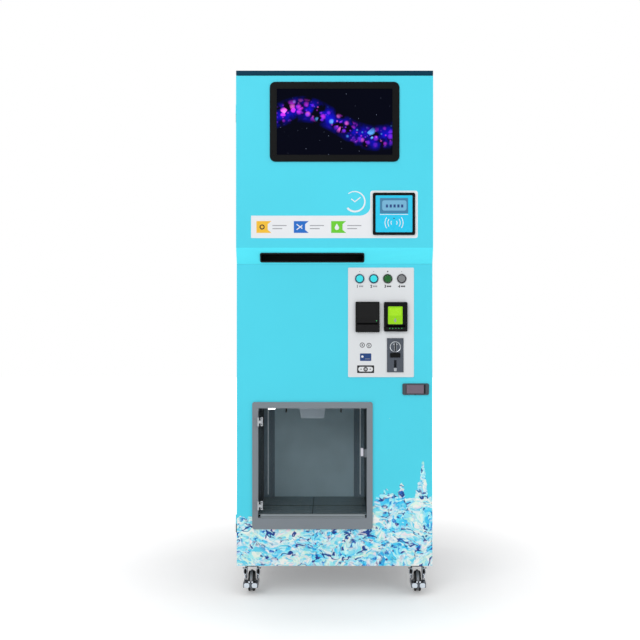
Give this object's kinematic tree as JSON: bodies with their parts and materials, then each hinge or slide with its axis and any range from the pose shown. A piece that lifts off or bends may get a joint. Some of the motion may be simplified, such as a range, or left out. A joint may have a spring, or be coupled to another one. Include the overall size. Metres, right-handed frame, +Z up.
{
  "type": "ice vending machine",
  "caption": "Upright ice vending machine on casters: hinged front door with display, payment modules and a glazed ice outlet, over an ice bin, auger and chute.",
  "frame": {"origin": "on the floor under the middle of the cabinet", "axes": "+Z up, the door faces -Y, +X to the right seen from the front"},
  "size_m": [0.7304, 0.8173, 1.942],
  "materials": {
    "cyan_paint": "satin powder coat",
    "cap_paint": "satin",
    "white_paint": "satin powder coat",
    "plate_paint": "satin",
    "zinc": "galvanised",
    "stainless": "brushed",
    "frame_grey": "brushed grey",
    "chrome": "polished",
    "black_plastic": "fine texture",
    "dark_metal": "satin",
    "screen_glass": "gloss",
    "smoked_glass": "smoked, clear",
    "reader_blue": "satin",
    "rubber": "matt",
    "bin_plastic": "moulded",
    "black_iron": "gloss black",
    "button_cyan": "lit",
    "button_green": "gloss",
    "button_grey": "satin",
    "red_plastic": "gloss"
  },
  "bodies": {
    "cabinet": {"base_deck": "zinc", "left_side_panel": "white_paint", "right_side_panel": "white_paint", "rear_cover": "white_paint", "top_cap": "cap_paint", "machine_shelf": "zinc", "ice_bin": "bin_plastic", "ice_maker_head": "stainless", "compressor": "black_iron", "condenser": "zinc", "auger_gearmotor": "black_iron", "ice_chute": "stainless", "outlet_chamber": "stainless", "control_box": "white_paint", "water_inlet_valve": "button_grey", "power_inlet": "black_plastic", "door_hinge_upper": "black_iron", "door_hinge_lower": "black_iron", "caster_plate_front_left": "chrome", "caster_plate_front_right": "chrome", "caster_plate_rear_left": "chrome", "caster_plate_rear_right": "chrome"},
    "door": {"door_upper_panel": "cyan_paint", "door_lower_panel": "cyan_paint", "display_bezel": "black_plastic", "display_screen": "screen_glass", "card_reader": "reader_blue", "bag_slot_liner": "black_plastic", "control_panel_plate": "plate_paint", "receipt_printer": "black_plastic", "bill_validator": "black_plastic", "coin_acceptor": "dark_metal", "lock_housing": "dark_metal", "outlet_frame": "frame_grey"},
    "fan": {"fan_blades": "black_plastic"},
    "auger": {"auger_screw": "stainless"},
    "grille": {"drip_grille": "stainless"},
    "rocker": {"power_rocker": "red_plastic"},
    "printer_lid": {"printer_lid": "black_plastic"},
    "coin_reject": {"coin_reject_button": "black_plastic"},
    "paddle": {"lock_paddle": "dark_metal"},
    "cam": {"lock_cam": "zinc"},
    "outlet_door": {"outlet_pane": "smoked_glass", "outlet_rail": "stainless", "outlet_hinge_upper": "chrome", "outlet_hinge_lower": "chrome"},
    "button_1": {"button_1": "button_cyan"},
    "button_2": {"button_2": "button_cyan"},
    "button_3": {"button_3": "button_green"},
    "button_4": {"button_4": "button_grey"},
    "fork_front_left": {"caster_fork_front_left": "chrome"},
    "wheel_front_left": {"caster_wheel_front_left": "rubber"},
    "fork_front_right": {"caster_fork_front_right": "chrome"},
    "wheel_front_right": {"caster_wheel_front_right": "rubber"},
    "fork_rear_left": {"caster_fork_rear_left": "chrome"},
    "wheel_rear_left": {"caster_wheel_rear_left": "rubber"},
    "fork_rear_right": {"caster_fork_rear_right": "chrome"},
    "wheel_rear_right": {"caster_wheel_rear_right": "rubber"},
    "pedal_front_left": {"caster_pedal_front_left": "chrome"},
    "pedal_front_right": {"caster_pedal_front_right": "chrome"}
  },
  "joints": [
    {"name": "main_door", "type": "hinge", "parent": "cabinet", "child": "door", "pos_m": [-0.3625, -0.339, 0.115], "axis": [0, 0, -1], "range_deg": [0, 110]},
    {"name": "outlet_door_swing", "type": "hinge", "parent": "door", "child": "outlet_door", "pos_m": [-0.2819, -0.3808, 0.293], "axis": [0, 0, -1], "range_deg": [0, 100]},
    {"name": "fan_spin", "type": "hinge", "parent": "cabinet", "child": "fan", "pos_m": [0.145, 0.33, 0.2675], "axis": [0, 1, 0], "continuous": true},
    {"name": "auger_spin", "type": "hinge", "parent": "cabinet", "child": "auger", "pos_m": [0, -0.17, 1.03], "axis": [1, 0, 0], "continuous": true},
    {"name": "grille_lift", "type": "slide", "parent": "cabinet", "child": "grille", "axis": [0, 0, 1], "range_m": [0, 0.025]},
    {"name": "rocker_tilt", "type": "hinge", "parent": "cabinet", "child": "rocker", "pos_m": [0.26485, -0.239, 0.64], "axis": [1, 0, 0], "range_deg": [-8, 8]},
    {"name": "swivel_front_left", "type": "hinge", "parent": "cabinet", "child": "fork_front_left", "pos_m": [-0.312, -0.262, 0.0955], "axis": [0, 0, 1], "continuous": true},
    {"name": "roll_front_left", "type": "hinge", "parent": "fork_front_left", "child": "wheel_front_left", "pos_m": [-0.312, -0.288, 0.0375], "axis": [1, 0, 0], "continuous": true},
    {"name": "swivel_front_right", "type": "hinge", "parent": "cabinet", "child": "fork_front_right", "pos_m": [0.312, -0.262, 0.0955], "axis": [0, 0, 1], "continuous": true},
    {"name": "roll_front_right", "type": "hinge", "parent": "fork_front_right", "child": "wheel_front_right", "pos_m": [0.312, -0.288, 0.0375], "axis": [1, 0, 0], "continuous": true},
    {"name": "swivel_rear_left", "type": "hinge", "parent": "cabinet", "child": "fork_rear_left", "pos_m": [-0.312, 0.325, 0.0955], "axis": [0, 0, 1], "continuous": true},
    {"name": "roll_rear_left", "type": "hinge", "parent": "fork_rear_left", "child": "wheel_rear_left", "pos_m": [-0.312, 0.299, 0.0375], "axis": [1, 0, 0], "continuous": true},
    {"name": "swivel_rear_right", "type": "hinge", "parent": "cabinet", "child": "fork_rear_right", "pos_m": [0.312, 0.325, 0.0955], "axis": [0, 0, 1], "continuous": true},
    {"name": "roll_rear_right", "type": "hinge", "parent": "fork_rear_right", "child": "wheel_rear_right", "pos_m": [0.312, 0.299, 0.0375], "axis": [1, 0, 0], "continuous": true},
    {"name": "brake_front_left", "type": "hinge", "parent": "fork_front_left", "child": "pedal_front_left", "pos_m": [-0.312, -0.288, 0.0375], "axis": [1, 0, 0], "range_deg": [0, 12]},
    {"name": "brake_front_right", "type": "hinge", "parent": "fork_front_right", "child": "pedal_front_right", "pos_m": [0.312, -0.288, 0.0375], "axis": [1, 0, 0], "range_deg": [0, 12]},
    {"name": "press_button_1", "type": "slide", "parent": "door", "child": "button_1", "axis": [0, 1, 0], "range_m": [0, 0.004], "stiffness_N_per_m": 400, "springref_m": -0.001},
    {"name": "press_button_2", "type": "slide", "parent": "door", "child": "button_2", "axis": [0, 1, 0], "range_m": [0, 0.004], "stiffness_N_per_m": 400, "springref_m": -0.001},
    {"name": "press_button_3", "type": "slide", "parent": "door", "child": "button_3", "axis": [0, 1, 0], "range_m": [0, 0.004], "stiffness_N_per_m": 400, "springref_m": -0.001},
    {"name": "press_button_4", "type": "slide", "parent": "door", "child": "button_4", "axis": [0, 1, 0], "range_m": [0, 0.004], "stiffness_N_per_m": 400, "springref_m": -0.001},
    {"name": "printer_lid_open", "type": "hinge", "parent": "door", "child": "printer_lid", "pos_m": [0.1216, -0.3801, 1.0865], "axis": [-1, 0, 0], "range_deg": [0, 85]},
    {"name": "press_coin_reject", "type": "slide", "parent": "door", "child": "coin_reject", "axis": [0, 1, 0], "range_m": [0, 0.003], "stiffness_N_per_m": 400, "springref_m": -0.001},
    {"name": "paddle_pull", "type": "hinge", "parent": "door", "child": "paddle", "pos_m": [0.2679, -0.3703, 0.769], "axis": [0, 0, -1], "range_deg": [0, 45], "stiffness_Nm_per_rad": 0.3, "springref_deg": -5.73},
    {"name": "cam_turn", "type": "hinge", "parent": "door", "child": "cam", "pos_m": [0.315, -0.37, 0.769], "axis": [0, 1, 0], "range_deg": [0, 90]}
  ]
}
